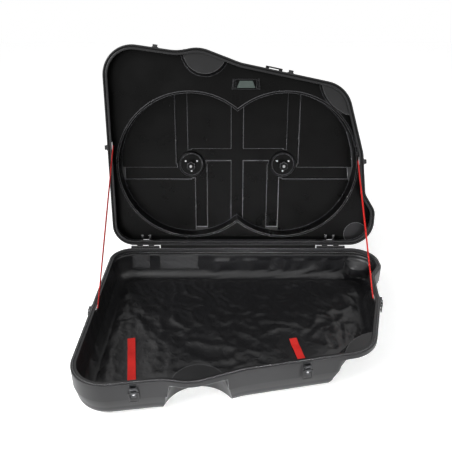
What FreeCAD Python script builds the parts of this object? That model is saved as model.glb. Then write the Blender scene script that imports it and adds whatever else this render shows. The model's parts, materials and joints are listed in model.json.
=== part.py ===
"""Hard clamshell travel case for a bicycle, standing open with its lid held back by two stay straps."""
import FreeCAD
import Part
import math
import os

# Overall size of one half, seen from above; the hinge runs along the back edge
LENGTH = 1204.0
WIDTH = 905.0
DEPTH = 145.0
WALL = 4.0
LID_OPEN_DEG = 99.5
RIM_GAP = 0.4

# Outline corners, each a bend between two straight edges
BACK_LEFT_R = 95.0
FRONT_LEFT_R = 130.0
GRIP_BUMP_X = -0.1595 * LENGTH
GRIP_BUMP_DROP = 27.0
GRIP_BUMP_R = 150.0
GRIP_DIP_OFFSET = 90.0
GRIP_DIP_DROP = 45.0
SHOULDER_OFFSET = 175.0
SHOULDER_DROP = 92.0
SOFT_BEND_R = 200.0
FRONT_RIGHT_INSET = 164.0
FRONT_RIGHT_DROP = 0.2044 * WIDTH
FRONT_RIGHT_R = 140.0
WAIST_INSET = 74.0
WAIST_V = 0.4751 * WIDTH
WAIST_R = 150.0
BULGE_INSET = 51.0
BULGE_START_V = 0.2707 * WIDTH
BULGE_START_R = 60.0
BULGE_END_V = 0.1823 * WIDTH
BULGE_END_R = 70.0
BACK_RIGHT_R = 110.0

# Wall section, from the rim to the floor
RIM_BAND = 66.0
DRAFT_INSET = 8.0
EDGE_R = 45.0
EDGE_STEPS = 3
LIP_W = 20.0
LIP_H = 12.0
GROOVE_INSET = 6.0
GROOVE_W = 5.0
GROOVE_H = 6.0
TONGUE_CLEAR = 1.0
TONGUE_H = 3.0
SEAL_H = 2.5

# Hand grips: round notches below the rim band
GRIP_BAND_H = 18.0
FRONT_GRIP_X = -0.137 * LENGTH
FRONT_GRIP_R = 88.0
FRONT_GRIP_DEEP = 97.0
CORNER_GRIP_R = 165.0
CORNER_GRIP_ALONG = 12.0
CORNER_GRIP_DEEP = 90.0
BASE_FLARE = (37.0, 55.0)
LID_FLARE = (37.0, 8.0)

# Trolley wheel in the bulged corner of each half
WHEEL_X = LENGTH / 2 - 68.0
WHEEL_V = 36.0
WHEEL_R = 45.0
WHEEL_W = 30.0
WHEEL_LOW = 50.0
WHEEL_SIDE_CLEAR = 1.0
WHEEL_WELL_CLEAR = 6.0
HUB_R = 30.0
AXLE_R = 6.0
RUN_CLEAR = 0.06
SKID_XS = (-0.2184 * LENGTH, 0.1794 * LENGTH)
SKID_W = 90.0
SKID_OUT = 8.0
SKID_TOP = 20.0

# Hinges along the back edge
HINGE_XS = (-0.378 * LENGTH, 0.339 * LENGTH)
HINGE_W = 132.0
HINGE_OUT = 9.0
LEAF_T = 3.0
LEAF_H = 50.0
LEAF_TOP = 7.0
KNUCKLE_R = 6.0
KNUCKLES = 5
KNUCKLE_GAP = 0.4
PIN_R = 2.5
SCREW_R = 4.5
SCREW_H = 2.0
BACKING_T = 3.0
HINGE_POST_X = 18.0
HINGE_POST = (10.0, 30.0, 9.0)
HINGE_BAR_R = 4.0
COVER_CLEAR = 4.0
COVER_OUT = 12.0
COVER_H = 15.0

# Latches on the base wall and keepers on the lid wall
LATCH_W = 26.0
LATCH_T = 2.5
LATCH_TOP = 3.0
LATCH_H = 40.0
LEVER_W = 17.0
LEVER_T = 2.5
LEVER_L = 30.0
EAR_T = 2.5
EAR_OUT = 13.5
EAR_H = 10.0
PIVOT_OUT = 9.0
PIVOT_DOWN = 14.0
LATCH_PIN_R = 2.0
BARREL_R = 4.2
BAIL_DOWN = 13.0
BAIL_OUT = 3.5
BAIL_WIRE_R = 1.6
BAIL_L = 36.0
BAIL_W = 31.0
KEEPER_H = 22.0
HOOK_OUT = 12.0
HOOK_W = 20.0
HOOK_T = 3.0
FRONT_LATCH_X = -0.3123 * LENGTH
SLOPE_LATCH_X = 0.1611 * LENGTH
LEFT_LATCH_V = 0.5028 * WIDTH
RIGHT_LATCH_V = 0.4331 * WIDTH

# Webbing
STAY_V = 0.5105 * WIDTH
RIGHT_STAY_V = 0.4376 * WIDTH
STAY_W = 12.0
WEB_T = 2.0
ANCHOR_W = 34.0
ANCHOR_T = 4.0
TIE_W = 30.0
TIE_END_V = 0.5414 * WIDTH
TIE_STARTS = (-0.3256 * LENGTH, 0.196 * LENGTH)
TIE_ENDS = (-0.3754 * LENGTH, 0.1528 * LENGTH)
TIE_FRONT_CLEAR = 70.0
SEAT_CLEAR = 0.3

# Fabric lining of the base
LINER_T = 3.0
LINER_TOP = 30.0
POCKET_T = 5.0
POCKETS = {"back_pocket_small": (-0.397 * LENGTH, 84.0), "back_pocket_large": (-0.249 * LENGTH, 180.0)}
POCKET_LOW = 40.0

# Wheel wells, their moulded floor and hub mounts in the lid
WELL_XS = (-0.2 * LENGTH, 0.1545 * LENGTH)
WELL_V = 0.3945 * WIDTH
WELL_R = min(0.3624 * WIDTH, 0.2724 * LENGTH)
SHELF_DOWN = 60.0
MOULDING_T = 2.0
PANEL_T = 2.0
PANEL_CLEAR = 1.0
PLATEAU_H = 12.0
CHANNEL_IN = 16.0
CHANNEL_W = 56.0
BEAD_W = 9.0
BEAD_H = 4.0
MOUNT_CLEAR = 5.0
MOUNT_R = 62.0
MOUNT_H = 22.0
MOUNT_LIP = 6.0
STUD_R = 6.0
STUD_TOP = 78.0
KNOB_R = 19.0
KNOB_H = 16.0
KNOB_LOBES = 6
MOUNT_SCREWS = 3

# Inner plate of the lid's carrying grip
PLATE_X = 0.0066 * LENGTH
PLATE_V = WELL_V + WELL_R + 37.0
PLATE_W = (124.0, 116.0)
PLATE_H = 44.0
PLATE_T = 3.0
POST_X = 50.0
POST_SIZE = (12.0, 34.0, 18.0)
BAR_W = (80.0, 56.0)
BAR_H = 30.0
BAR_T = 14.0

# Carrying handle outside the lid
HANDLE_X = 0.103 * LENGTH
HANDLE_L = 72.0
HANDLE_H = 24.0
HANDLE_OUT = 10.0
HANDLE_T = 6.0
HANDLE_FOOT = 14.0
HANDLE_DOWN = 14.0

BACK_Y = WIDTH / 2
HINGE_Y = BACK_Y + HINGE_OUT
HINGE_Z = DEPTH + RIM_GAP / 2
FLOOR_Z = WALL


def vec(x, y, z):
    """A point or direction in the case's frame."""
    return FreeCAD.Vector(x, y, z)


def outline_corners():
    """Corners of the rim outline as (x, distance from the hinge edge, bend radius)."""
    half = LENGTH / 2
    return [
        (-half, 0.0, BACK_LEFT_R),
        (-half, WIDTH, FRONT_LEFT_R),
        (GRIP_BUMP_X - GRIP_DIP_OFFSET, WIDTH - GRIP_DIP_DROP, SOFT_BEND_R),
        (GRIP_BUMP_X, WIDTH - GRIP_BUMP_DROP, GRIP_BUMP_R),
        (GRIP_BUMP_X + SHOULDER_OFFSET, WIDTH - SHOULDER_DROP, SOFT_BEND_R),
        (half - FRONT_RIGHT_INSET, WIDTH - FRONT_RIGHT_DROP, FRONT_RIGHT_R),
        (half - WAIST_INSET, WAIST_V, WAIST_R),
        (half - BULGE_INSET, BULGE_START_V, BULGE_START_R),
        (half, BULGE_END_V, BULGE_END_R),
        (half, 0.0, BACK_RIGHT_R),
    ]


def corner_points():
    """Outline corners as points in plan, hinge edge at the back."""
    return [vec(x, BACK_Y - v, 0) for x, v, r in outline_corners()]


def edge_frame(index):
    """Start, direction and outward normal of the outline's straight edge after a corner."""
    points = corner_points()
    start = points[index]
    along = points[(index + 1) % len(points)] - start
    along.normalize()
    return start, along, vec(-along.y, along.x, 0) * -1


def outline(inset, z):
    """Closed wire of the rim outline, moved inwards by inset, at height z."""
    corners = outline_corners()
    count = len(corners)
    runs = []
    for i in range(count):
        before, along_in, out_in = edge_frame(i - 1)
        here, along_out, out_out = edge_frame(i)
        turn = along_in.x * along_out.y - along_in.y * along_out.x
        bend = math.atan2(turn, along_in.dot(along_out))
        convex = 1 if turn * (along_in.x * out_in.y - along_in.y * out_in.x) < 0 else -1
        radius = max(corners[i][2] - convex * inset, 2.0)
        half_turn = math.tan(abs(bend) / 2)
        move = (out_in + out_out) * (inset / (1 + out_in.dot(out_out)))
        corner = here - move
        middle_dir = along_out - along_in
        middle_dir.normalize()
        reach = radius / math.cos(abs(bend) / 2) - radius
        first = corner - along_in * (radius * half_turn)
        last = corner + along_out * (radius * half_turn)
        runs.append((first, corner + middle_dir * reach, last))
    lift = vec(0, 0, z)
    edges = []
    for i in range(count):
        first, middle, last = runs[i]
        following = runs[(i + 1) % count][0]
        edges.append(Part.Arc(first + lift, middle + lift, last + lift).toShape())
        edges.append(Part.LineSegment(last + lift, following + lift).toShape())
    return Part.Wire(edges)


def box(x0, x1, y0, y1, z0, z1):
    """Box between two corners."""
    return Part.makeBox(x1 - x0, y1 - y0, z1 - z0, vec(x0, y0, z0))


def cylinder(radius, x, y, z0, z1):
    """Upright cylinder between two heights."""
    return Part.makeCylinder(radius, z1 - z0, vec(x, y, z0))


def screw_head(at, axis):
    """Flat round screw head standing on a surface."""
    turns = [math.radians(step * 30) for step in range(13)]
    rim = Part.makePolygon([vec(SCREW_R * math.cos(a), SCREW_R * math.sin(a), 0) for a in turns])
    head = Part.Face(rim).extrude(vec(0, 0, SCREW_H))
    head.Placement = FreeCAD.Placement(at, FreeCAD.Rotation(vec(0, 0, 1), axis))
    return head


def along_x(radius, x0, x1, y, z):
    """Cylinder lying along X."""
    return Part.makeCylinder(radius, x1 - x0, vec(x0, y, z), vec(1, 0, 0))


def prism(points, x0, x1):
    """Flat shape given as (y, z) points, drawn out along X."""
    wire = Part.makePolygon([vec(x0, y, z) for y, z in points + points[:1]])
    return Part.Face(wire).extrude(vec(x1 - x0, 0, 0))


def ring(inset, width, z0, z1):
    """Band that follows the outline between two insets."""
    outer = Part.Face(outline(inset, z0)).extrude(vec(0, 0, z1 - z0))
    inner = Part.Face(outline(inset + width, z0)).extrude(vec(0, 0, z1 - z0))
    return outer.cut(inner)


def wall_profile(offset, lip):
    """Insets and heights of a half's wall, rim first, moved inwards by offset."""
    profile = [(offset, DEPTH)]
    if lip:
        profile = [(LIP_W, DEPTH), (LIP_W, DEPTH - LIP_H), (offset, DEPTH - 2 * LIP_H)]
    profile.append((offset, DEPTH - RIM_BAND))
    for step in range(EDGE_STEPS + 1):
        angle = math.radians(90) * step / EDGE_STEPS
        inset = DRAFT_INSET + EDGE_R - (EDGE_R - offset) * math.cos(angle)
        profile.append((inset, EDGE_R - (EDGE_R - offset) * math.sin(angle)))
    return profile


def grip_cutters(grow, flare):
    """The two hand notches, wider at the floor by their flare, and the wheel pocket, each grown by a wall."""
    top = DEPTH - GRIP_BAND_H + grow
    start, along, out = edge_frame(3)
    share = (FRONT_GRIP_X - start.x) / along.x
    front = start + along * share + out * (FRONT_GRIP_R - FRONT_GRIP_DEEP)
    corner = corner_points()[5] + edge_frame(5)[1] * CORNER_GRIP_ALONG
    diagonal = edge_frame(4)[2] + edge_frame(5)[2] * 1.3
    diagonal.normalize()
    corner = corner + diagonal * (CORNER_GRIP_R - CORNER_GRIP_DEEP)
    front_r = FRONT_GRIP_R + grow
    corner_r = CORNER_GRIP_R + grow
    notches = Part.makeCone(front_r + flare[0], front_r, top, vec(front.x, front.y, 0))
    notches = notches.fuse(Part.makeCone(corner_r + flare[1], corner_r, top, vec(corner.x, corner.y, 0)))
    low = WHEEL_LOW - WHEEL_SIDE_CLEAR - grow
    high = WHEEL_LOW + WHEEL_W + WHEEL_SIDE_CLEAR + grow
    well_r = WHEEL_R + WHEEL_WELL_CLEAR + grow
    return notches.fuse(cylinder(well_r, WHEEL_X, BACK_Y - WHEEL_V, low, high))


def half_volume(offset, lip=False, flare=LID_FLARE):
    """Solid bounded by a half's wall moved inwards by offset, notches taken out."""
    sections = [outline(inset, z) for inset, z in wall_profile(offset, lip)]
    return Part.makeLoft(sections, True, True).cut(grip_cutters(offset, flare))


def to_lid(shape):
    """Turn a piece drawn in the base's place into the lid's, and open the lid."""
    turned = shape.mirror(vec(0, 0, HINGE_Z), vec(0, 0, 1))
    turned.rotate(vec(0, HINGE_Y, HINGE_Z), vec(1, 0, 0), -LID_OPEN_DEG)
    return turned


def save(node, shape):
    """Write one sub-part."""
    shape.exportStep("parts/" + node + ".step")


def shells():
    """Base shell with its sealing tongue, lid shell with the groove, and the seal."""
    tongue_inset = GROOVE_INSET + TONGUE_CLEAR
    tongue = ring(tongue_inset, GROOVE_W - 2 * TONGUE_CLEAR, DEPTH, DEPTH + TONGUE_H)
    tray = half_volume(0.0, False, BASE_FLARE).cut(half_volume(WALL, True, BASE_FLARE))
    save("base_shell", tray.fuse(tongue).removeSplitter())
    groove_low = DEPTH - GROOVE_H
    cover = half_volume(0.0).cut(half_volume(WALL, True))
    save("lid_shell", to_lid(cover.cut(ring(GROOVE_INSET, GROOVE_W, groove_low, DEPTH))))
    save("lid_seal", to_lid(ring(GROOVE_INSET, GROOVE_W, groove_low, groove_low + SEAL_H)))


def liner_and_pockets():
    """Fabric lining of the tray and the flat pockets on its back wall."""
    near = WALL + SEAT_CLEAR
    bare = slab(DEPTH - LINER_TOP, 2 * DEPTH)
    inner = half_volume(near + LINER_T, False, BASE_FLARE)
    liner = half_volume(near, False, BASE_FLARE).cut(inner).cut(bare)
    save("base_liner", liner)
    face = near + LINER_T
    pad = half_volume(face).cut(half_volume(face + POCKET_T))
    for node, (x, width) in POCKETS.items():
        place = box(x - width / 2, x + width / 2, 0, BACK_Y, POCKET_LOW, DEPTH - LINER_TOP)
        save(node, pad.common(place))


def slab(z0, z1):
    """Layer that covers the whole case between two heights."""
    return box(-LENGTH, LENGTH, -WIDTH, WIDTH, z0, z1)


def well_cylinders(radius, z0, z1):
    """The two overlapping round wells as one solid."""
    left, right = (cylinder(radius, x, BACK_Y - WELL_V, z0, z1) for x in WELL_XS)
    return left.fuse(right)


def wells():
    """Lid moulding with two round wheel wells, and the moulded panel on their floor."""
    inside = half_volume(WALL)
    top = DEPTH - SHELF_DOWN
    bead = well_cylinders(WELL_R + BEAD_W, top, top + BEAD_H)
    shelf = slab(FLOOR_Z + PANEL_T, top).fuse(bead)
    shelf = shelf.cut(well_cylinders(WELL_R, 0, DEPTH))
    under = slab(0, top - MOULDING_T).cut(well_cylinders(WELL_R + MOULDING_T, 0, DEPTH))
    save("wheel_well_moulding", to_lid(inside.common(shelf.cut(under)).removeSplitter()))
    sheet = well_cylinders(WELL_R - PANEL_CLEAR, FLOOR_Z, FLOOR_Z + PANEL_T)
    panel = sheet.multiFuse(plateaus(0.0, FLOOR_Z + PLATEAU_H)).common(inside)
    hollow = plateaus(PANEL_T, FLOOR_Z + PLATEAU_H - PANEL_T)
    thin = half_volume(WALL + PANEL_T).fuse(slab(-1, FLOOR_Z + PANEL_T))
    for block in hollow:
        panel = panel.cut(block.common(thin))
    save("well_floor_panel", to_lid(panel.removeSplitter()))


def plateaus(shrink, top):
    """Raised fields of the well floors, four round each hub, with channels between them."""
    middle = sum(WELL_XS) / 2
    fields = []
    for sense, x in zip((-1, 1), WELL_XS):
        y = BACK_Y - WELL_V
        field = cylinder(WELL_R - PANEL_CLEAR - shrink, x, y, FLOOR_Z, top)
        field = field.cut(cylinder(MOUNT_R + MOUNT_CLEAR + shrink, x, y, 0, DEPTH))
        near = CHANNEL_IN - shrink
        far = CHANNEL_IN + CHANNEL_W + shrink
        side = sorted((sense * near, sense * far))
        for turn in range(4):
            channel = box(0, 2 * WELL_R, side[0], side[1], 0, DEPTH)
            channel.rotate(vec(0, 0, 0), vec(0, 0, 1), 90 * turn)
            channel.translate(vec(x, y, 0))
            field = field.cut(channel)
        edge = middle + sense * (CHANNEL_W / 2 + shrink)
        far_side = sorted((edge, edge - sense * LENGTH))
        fields.append(field.cut(box(far_side[0], far_side[1], -WIDTH, WIDTH, 0, DEPTH)))
    return fields


def hub_mounts():
    """Round mounts that a wheel hub is clamped on: disc, stud, turning knob and screws."""
    y = BACK_Y - WELL_V
    z0 = FLOOR_Z + PANEL_T
    studs = []
    screws = []
    for side, x in zip(("left", "right"), WELL_XS):
        disc = Part.makeCone(MOUNT_R, MOUNT_R - MOUNT_LIP, MOUNT_H, vec(x, y, z0))
        dish = cylinder(MOUNT_R - 2 * MOUNT_LIP, x, y, z0 + MOUNT_H - MOUNT_LIP, z0 + MOUNT_H)
        disc = disc.cut(dish).cut(cylinder(STUD_R, x, y, z0, z0 + MOUNT_H))
        save("hub_mount_" + side, to_lid(disc))
        studs.append(cylinder(STUD_R, x, y, z0, STUD_TOP))
        save("hub_knob_" + side, to_lid(knob(x, y)))
        for turn in range(MOUNT_SCREWS):
            angle = math.radians(90 + 360 * turn / MOUNT_SCREWS)
            reach = MOUNT_R / 2
            sx = x + reach * math.cos(angle)
            sy = y + reach * math.sin(angle)
            seat = z0 + MOUNT_H - MOUNT_LIP
            screws.append(screw_head(vec(sx, sy, seat), vec(0, 0, 1)))
    save("hub_studs", to_lid(Part.makeCompound(studs)))
    save("hub_mount_screws", to_lid(Part.makeCompound(screws)))


def knob(x, y):
    """Lobed clamping knob that turns on a hub stud."""
    low = STUD_TOP - KNOB_H - STUD_R
    body = cylinder(KNOB_R, x, y, low, low + KNOB_H)
    for turn in range(KNOB_LOBES):
        angle = math.radians(360 * turn / KNOB_LOBES)
        gx = x + KNOB_R * 1.25 * math.cos(angle)
        gy = y + KNOB_R * 1.25 * math.sin(angle)
        body = body.cut(cylinder(KNOB_R / 2.4, gx, gy, low, low + KNOB_H))
    return body.cut(cylinder(STUD_R + RUN_CLEAR, x, y, low, low + KNOB_H))


def trapezium(widths, height, low, thick):
    """Slab with a long and a short side, at the grip plate's place on the lid moulding."""
    y = BACK_Y - PLATE_V
    long, short = (w / 2 for w in widths)
    corners = [(-long, height / 2), (long, height / 2), (short, -height / 2), (-short, -height / 2)]
    points = [vec(PLATE_X + px, y + py, low) for px, py in corners]
    return Part.Face(Part.makePolygon(points + points[:1])).extrude(vec(0, 0, thick))


def grip_plate():
    """Plate on the lid moulding with a post at each end and a bar between them."""
    y = BACK_Y - PLATE_V
    z0 = DEPTH - SHELF_DOWN
    seat = z0 + PLATE_T
    save("grip_plate", to_lid(trapezium(PLATE_W, PLATE_H, z0, PLATE_T)))
    posts = []
    width, deep, tall = POST_SIZE
    for x in (PLATE_X - POST_X, PLATE_X + POST_X):
        posts.append(box(x - width / 2, x + width / 2, y - deep / 2, y + deep / 2, seat, seat + tall))
    save("grip_plate_posts", to_lid(Part.makeCompound(posts)))
    save("grip_plate_bar", to_lid(trapezium(BAR_W, BAR_H, seat, BAR_T)))


def carry_handle():
    """Carrying handle on the lid's sloping outer wall: two feet and a grip bar."""
    top = -HANDLE_DOWN
    low = top - HANDLE_H
    reach = HANDLE_L / 2
    handle = box(-reach, reach, -HANDLE_OUT, HANDLE_T - HANDLE_OUT, low, top)
    for side in (-1, 1):
        ends = sorted((side * reach, side * (reach - HANDLE_FOOT)))
        handle = handle.fuse(box(ends[0], ends[1], HANDLE_T - HANDLE_OUT, 0, low, top))
    save("carry_handle", to_lid(seat_on_edge(handle.removeSplitter(), 4, HANDLE_X)))


def hinge_leaf(x, first, bore):
    """Outside hinge leaf with every second knuckle, drawn on the base's back wall."""
    x0 = x - HINGE_W / 2
    top = DEPTH - LEAF_TOP
    leaf = box(x0, x0 + HINGE_W, BACK_Y, BACK_Y + LEAF_T, top - LEAF_H, top)
    pitch = HINGE_W / KNUCKLES
    for k in range(first, KNUCKLES, 2):
        k0 = x0 + k * pitch + KNUCKLE_GAP / 2
        k1 = x0 + (k + 1) * pitch - KNUCKLE_GAP / 2
        neck = [
            (BACK_Y, top - LEAF_TOP),
            (BACK_Y, top),
            (HINGE_Y - KNUCKLE_R / 2, HINGE_Z - KNUCKLE_R / 2),
            (HINGE_Y + KNUCKLE_R / 2, HINGE_Z - KNUCKLE_R / 2),
            (BACK_Y + LEAF_T, top - LEAF_TOP),
        ]
        leaf = leaf.fuse(prism(neck, k0, k1)).fuse(along_x(KNUCKLE_R, k0, k1, HINGE_Y, HINGE_Z))
    return leaf.cut(along_x(bore, x0, x0 + HINGE_W, HINGE_Y, HINGE_Z)).removeSplitter()


def hinges():
    """Two butt hinges: leaves, pins, outside screws and the backing plates inside the lid."""
    pins = []
    screws = []
    inner_screws = []
    posts = []
    bars = []
    backing = half_volume(WALL).cut(half_volume(WALL + BACKING_T))
    for side, x in zip(("left", "right"), HINGE_XS):
        x0 = x - HINGE_W / 2
        save("hinge_base_leaf_" + side, hinge_leaf(x, 0, PIN_R))
        save("hinge_lid_leaf_" + side, to_lid(hinge_leaf(x, 1, PIN_R + RUN_CLEAR)))
        pins.append(along_x(PIN_R, x0, x0 + HINGE_W, HINGE_Y, HINGE_Z))
        low = DEPTH - SHELF_DOWN
        high = DEPTH - 2 * LIP_H
        place = box(x0, x0 + HINGE_W, 0, BACK_Y, low, high)
        save("hinge_backing_" + side, to_lid(backing.common(place)))
        width, tall, deep = HINGE_POST
        face = BACK_Y - WALL - BACKING_T
        middle = (low + high) / 2
        for px in (x - HINGE_POST_X, x + HINGE_POST_X):
            x1 = px + width / 2
            posts.append(box(px - width / 2, x1, face - tall, face, middle - deep / 2, middle + deep / 2))
        gap = HINGE_POST_X - width / 2
        bars.append(along_x(HINGE_BAR_R, x - gap, x + gap, face - HINGE_BAR_R, middle))
        for step in (-0.34, -0.22, 0.22, 0.34):
            sx = x + step * HINGE_W
            outer_z = DEPTH - LEAF_TOP - 0.65 * LEAF_H
            screws.append(screw_head(vec(sx, BACK_Y + LEAF_T, outer_z), vec(0, 1, 0)))
            inside = vec(sx, face, middle)
            inner_screws.append(screw_head(inside, vec(0, -1, 0)))
    save("hinge_pins", Part.makeCompound(pins))
    save("hinge_screws_base", Part.makeCompound(screws))
    save("hinge_screws_lid", to_lid(Part.makeCompound(screws)))
    save("hinge_backing_screws", to_lid(Part.makeCompound(inner_screws)))
    save("hinge_posts", to_lid(Part.makeCompound(posts)))
    save("hinge_bars", to_lid(Part.makeCompound(bars)))


def hinge_cover():
    """Rubber strip on the lid's back wall that closes the gap between the hinges."""
    x0 = HINGE_XS[0] + HINGE_W / 2 + COVER_CLEAR
    x1 = HINGE_XS[1] - HINGE_W / 2 - COVER_CLEAR
    save("hinge_cover_strip", to_lid(box(x0, x1, BACK_Y, BACK_Y + COVER_OUT, DEPTH - COVER_H, DEPTH - 1)))


def seat_on_edge(shape, index, x=None, v=None):
    """Move a piece drawn at the rim, outside towards -Y, onto a straight edge of the outline."""
    start, along, out = edge_frame(index)
    share = (x - start.x) / along.x if x is not None else (BACK_Y - v - start.y) / along.y
    place = start + along * share
    moved = shape.copy()
    angle = math.degrees(math.atan2(out.y, out.x)) + 90
    moved.rotate(vec(0, 0, 0), vec(0, 0, 1), angle)
    moved.translate(vec(place.x, place.y, DEPTH))
    return moved


def latch_plate():
    """Latch plate with two ears, at the rim, outside towards -Y."""
    plate = box(-LATCH_W / 2, LATCH_W / 2, -LATCH_T, 0, -LATCH_TOP - LATCH_H, -LATCH_TOP)
    for side in (-1, 1):
        inner = side * (LEVER_W / 2 + SEAT_CLEAR)
        outer = inner + side * EAR_T
        low = -PIVOT_DOWN - EAR_H / 2
        ear = box(min(inner, outer), max(inner, outer), -EAR_OUT, -LATCH_T, low, low + EAR_H)
        plate = plate.fuse(ear)
    reach = LATCH_W / 2
    return plate.cut(along_x(LATCH_PIN_R, -reach, reach, -PIVOT_OUT, -PIVOT_DOWN)).removeSplitter()


def latch_pin():
    """Pin through the latch ears."""
    reach = LEVER_W / 2 + SEAT_CLEAR + EAR_T
    return along_x(LATCH_PIN_R, -reach, reach, -PIVOT_OUT, -PIVOT_DOWN)


def latch_lever():
    """Lever hanging from the latch pin, with the bail's pivot barrel and a turned-out tail."""
    half = LEVER_W / 2
    back = -PIVOT_OUT - LEVER_T / 2
    tail = -PIVOT_DOWN - LEVER_L
    blade = [
        (back + LEVER_T, -PIVOT_DOWN),
        (back, -PIVOT_DOWN),
        (back, tail + 2 * LEVER_T),
        (back - 2 * LEVER_T, tail),
        (back - LEVER_T, tail - LEVER_T),
        (back + LEVER_T, tail + LEVER_T),
    ]
    lever = prism(blade, -half, half)
    lever = lever.fuse(along_x(BARREL_R, -half, half, -PIVOT_OUT, -PIVOT_DOWN))
    bail_y = -PIVOT_OUT - BAIL_OUT
    bail_z = -PIVOT_DOWN - BAIL_DOWN
    lever = lever.fuse(along_x(BARREL_R - RUN_CLEAR, -half, half, bail_y, bail_z))
    lever = lever.cut(along_x(LATCH_PIN_R + RUN_CLEAR, -half, half, -PIVOT_OUT, -PIVOT_DOWN))
    return lever.cut(along_x(BAIL_WIRE_R + RUN_CLEAR, -half, half, bail_y, bail_z)).removeSplitter()


def latch_bail():
    """Bail that hangs from the lever and hooks over the keeper when swung up."""
    y = -PIVOT_OUT - BAIL_OUT
    z = -PIVOT_DOWN - BAIL_DOWN
    reach = BAIL_W / 2
    wire = along_x(BAIL_WIRE_R, -reach, reach, y, z)
    wire = wire.fuse(along_x(BAIL_WIRE_R, -reach, reach, y, z - BAIL_L))
    arm = BAIL_WIRE_R + SEAT_CLEAR
    for x in (-reach, reach):
        wire = wire.fuse(box(x - arm, x + arm, y - arm, y + arm, z - BAIL_L - arm, z + arm))
    return wire.removeSplitter()


def keeper():
    """Keeper on the lid wall: plate, shelf and a lip that the bail pulls against."""
    plate = box(-LATCH_W / 2, LATCH_W / 2, -LATCH_T, 0, -LATCH_TOP / 2 - KEEPER_H, -LATCH_TOP / 2)
    hook = [
        (-LATCH_T, -LATCH_TOP / 2 - HOOK_T / 4),
        (-HOOK_OUT, -LATCH_TOP / 2 - HOOK_T / 4),
        (-HOOK_OUT, -LATCH_TOP / 2 - 4 * HOOK_T),
        (-HOOK_OUT + HOOK_T / 2, -LATCH_TOP / 2 - 4 * HOOK_T),
        (-HOOK_OUT + HOOK_T, -LATCH_TOP / 2 - 1.5 * HOOK_T),
        (-LATCH_T, -LATCH_TOP / 2 - 1.5 * HOOK_T),
    ]
    return plate.fuse(prism(hook, -HOOK_W / 2, HOOK_W / 2)).removeSplitter()


def latches():
    """Four latches on the base and four keepers on the lid, one pair per edge."""
    places = {
        "front_left": (1, FRONT_LATCH_X, None),
        "front_right": (4, SLOPE_LATCH_X, None),
        "left": (0, None, LEFT_LATCH_V),
        "right": (6, None, RIGHT_LATCH_V),
    }
    pins = []
    for name, (edge, x, v) in places.items():
        save("latch_plate_" + name, seat_on_edge(latch_plate(), edge, x, v))
        save("latch_lever_" + name, seat_on_edge(latch_lever(), edge, x, v))
        save("latch_bail_" + name, seat_on_edge(latch_bail(), edge, x, v))
        save("latch_keeper_" + name, to_lid(seat_on_edge(keeper(), edge, x, v)))
        pins.append(seat_on_edge(latch_pin(), edge, x, v))
    save("latch_pins", Part.makeCompound(pins))


def stay_anchor(edge, v, sense):
    """Block on the inside of the rim lip, with a flat face across X, and that face's place."""
    start, along, out = edge_frame(edge)
    share = (BACK_Y - v - start.y) / along.y
    face_x = (start + along * share - out * (LIP_W + ANCHOR_T)).x
    far_x = face_x - sense * 2 * ANCHOR_T
    y = BACK_Y - v
    place = box(min(face_x, far_x), max(face_x, far_x), y - ANCHOR_W / 2, y + ANCHOR_W / 2, 0, DEPTH)
    lip_side = ring(LIP_W, 3 * ANCHOR_T, DEPTH - LIP_H, DEPTH - SEAT_CLEAR)
    return lip_side.common(place), face_x


def stays():
    """Stay straps between base and lid, and the anchors that hold their ends."""
    base_anchors = []
    lid_anchors = []
    for side, edge, v, sense in (("left", 0, STAY_V, 1), ("right", 6, RIGHT_STAY_V, -1)):
        anchor, face_x = stay_anchor(edge, v, sense)
        base_anchors.append(anchor)
        lid_anchors.append(to_lid(anchor))
        low = vec(face_x + sense * SEAT_CLEAR, BACK_Y - v, DEPTH - LIP_H / 2)
        high = to_lid(Part.Vertex(low)).Point
        save("lid_stay_" + side, strip(low, high, sense))
    save("stay_anchors_base", Part.makeCompound(base_anchors))
    save("stay_anchors_lid", Part.makeCompound(lid_anchors))


def strip(low, high, sense):
    """Flat strap in a plane across X, from one point to another."""
    along = high - low
    along.normalize()
    across = vec(0, -along.z, along.y) * (STAY_W / 2)
    points = [low - across, low + across, high + across, high - across]
    return Part.Face(Part.makePolygon(points + points[:1])).extrude(vec(sense * WEB_T, 0, 0))


def tie_straps():
    """Two webbing straps that lie on the tray's floor, sewn to it near the front wall."""
    z0 = WALL + LINER_T + 2 * SEAT_CLEAR
    edges = {"tie_strap_left": (1, 0), "tie_strap_right": (4, 1)}
    for node, (edge, k) in edges.items():
        start, along, out = edge_frame(edge)
        share = (TIE_STARTS[k] - start.x) / along.x
        first = start + along * share - out * (DRAFT_INSET + EDGE_R + TIE_FRONT_CLEAR)
        last = vec(TIE_ENDS[k], BACK_Y - TIE_END_V, 0)
        run = last - first
        run.normalize()
        across = vec(-run.y, run.x, 0) * (TIE_W / 2)
        points = [p + vec(0, 0, z0) for p in (first - across, first + across, last + across, last - across)]
        save(node, Part.Face(Part.makePolygon(points + points[:1])).extrude(vec(0, 0, WEB_T)))


def tyre_ring(y, low, high):
    """Tyre of the trolley wheel, a ring with bevelled shoulders."""
    shoulder = WHEEL_W / 5
    tyre = cylinder(WHEEL_R, WHEEL_X, y, low + shoulder, high - shoulder)
    for z, up in ((high - shoulder, 1), (low + shoulder, -1)):
        bevel = Part.makeCone(WHEEL_R, WHEEL_R - shoulder, shoulder, vec(WHEEL_X, y, z), vec(0, 0, up))
        tyre = tyre.fuse(bevel)
    return tyre.cut(cylinder(HUB_R, WHEEL_X, y, low, high)).removeSplitter()


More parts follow.
